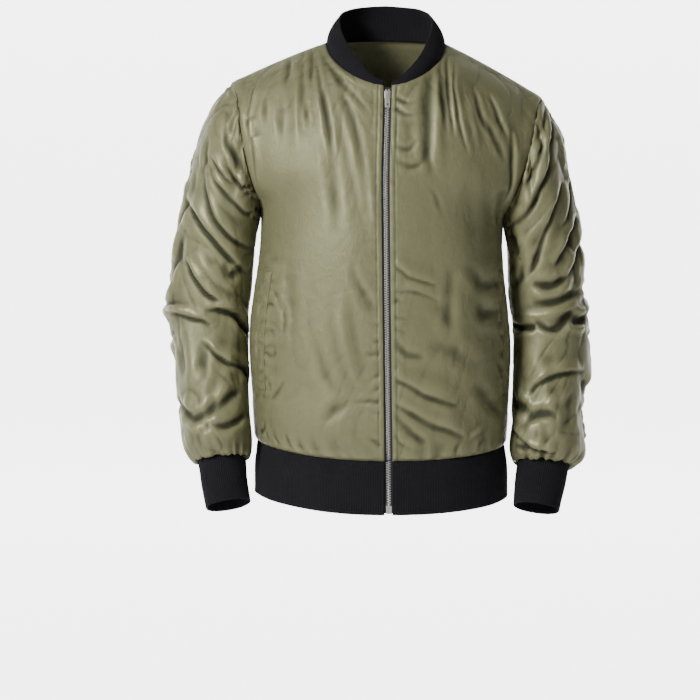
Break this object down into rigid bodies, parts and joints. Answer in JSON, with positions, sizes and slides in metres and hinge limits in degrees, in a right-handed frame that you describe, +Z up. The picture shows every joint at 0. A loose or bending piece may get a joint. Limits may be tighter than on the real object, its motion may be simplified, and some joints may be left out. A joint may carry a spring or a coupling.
{
  "type": "bomber jacket",
  "caption": "Bomber jacket with a full front zip, ribbed collar, cuffs and hem band, and slanted welt pockets, in the hollow shape it keeps when worn.",
  "frame": {"origin": "midway between the two points where the shoulder seams meet the collar, where the wearer's shoulders hold the jacket up", "axes": "+Z up, -Y out of the front, +X to the wearer's left"},
  "size_m": [0.6138, 0.2901, 0.7326],
  "materials": {
    "olive_shell": "glossy woven olive taffeta",
    "black_rib": "matt black rib knit",
    "zip_tape": "dark woven tape",
    "zip_metal": "polished silver metal"
  },
  "bodies": {
    "jacket": {"front_right": "olive_shell", "front_left": "olive_shell", "back": "olive_shell", "sleeve_right": "olive_shell", "sleeve_left": "olive_shell", "pocket_welt_right": "olive_shell", "pocket_welt_left": "olive_shell", "collar": "black_rib", "hem_band": "black_rib", "cuff_right": "black_rib", "cuff_left": "black_rib", "zip_tape_right": "zip_tape", "zip_tape_left": "zip_tape", "zip_chain_right": "zip_metal", "zip_chain_left": "zip_metal", "zip_stop_right": "zip_metal", "zip_stop_left": "zip_metal", "zip_slider": "zip_metal", "zip_box": "zip_metal"},
    "pull": {"zip_pull": "zip_metal"}
  },
  "joints": [
    {"name": "pull_hinge", "type": "hinge", "parent": "jacket", "child": "pull", "pos_m": [0.00081, -0.08938, -0.08404], "axis": [-1, 0, 0], "range_deg": [0, 160]}
  ]
}
